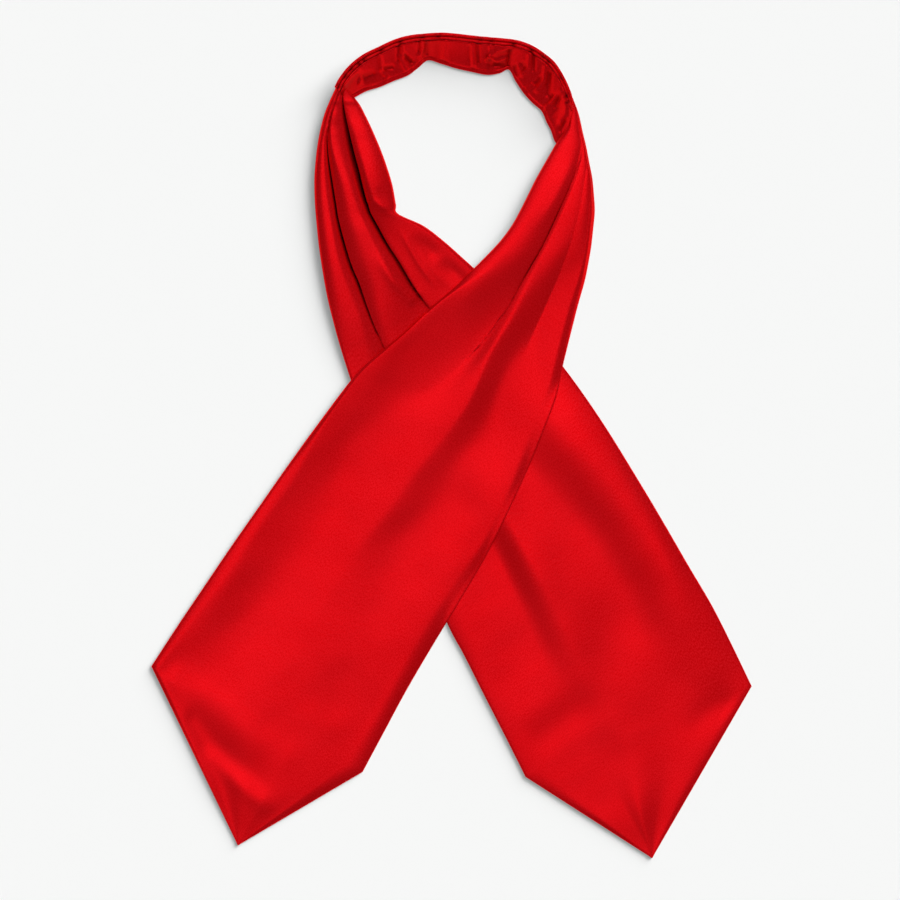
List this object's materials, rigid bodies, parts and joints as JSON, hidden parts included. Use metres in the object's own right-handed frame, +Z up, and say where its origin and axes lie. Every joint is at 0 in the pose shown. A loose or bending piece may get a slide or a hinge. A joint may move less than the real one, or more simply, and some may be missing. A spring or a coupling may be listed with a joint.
{
  "type": "silk cravat",
  "caption": "Flat silk satin cravat with a gathered neckband loop, pleated sides and two wide pointed blades crossed in front",
  "frame": {"origin": "on the surface that the cravat lies on, under the middle of its outline", "axes": "+Z up from the surface, +Y from the points of the blades to the neckband, +X to the right as seen from above"},
  "size_m": [0.3906, 0.535, 0.019],
  "materials": {
    "satin": "satin"
  },
  "bodies": {
    "root": {"under_blade_back": "satin", "under_blade_face": "satin", "over_blade_back": "satin", "over_blade_face": "satin", "left_outer_pleat": "satin", "left_middle_pleat": "satin", "left_inner_roll": "satin", "left_turned_side": "satin", "right_inner_pleat": "satin", "right_outer_pleat": "satin", "neckband_inner": "satin", "neckband_outer": "satin"}
  },
  "joints": []
}
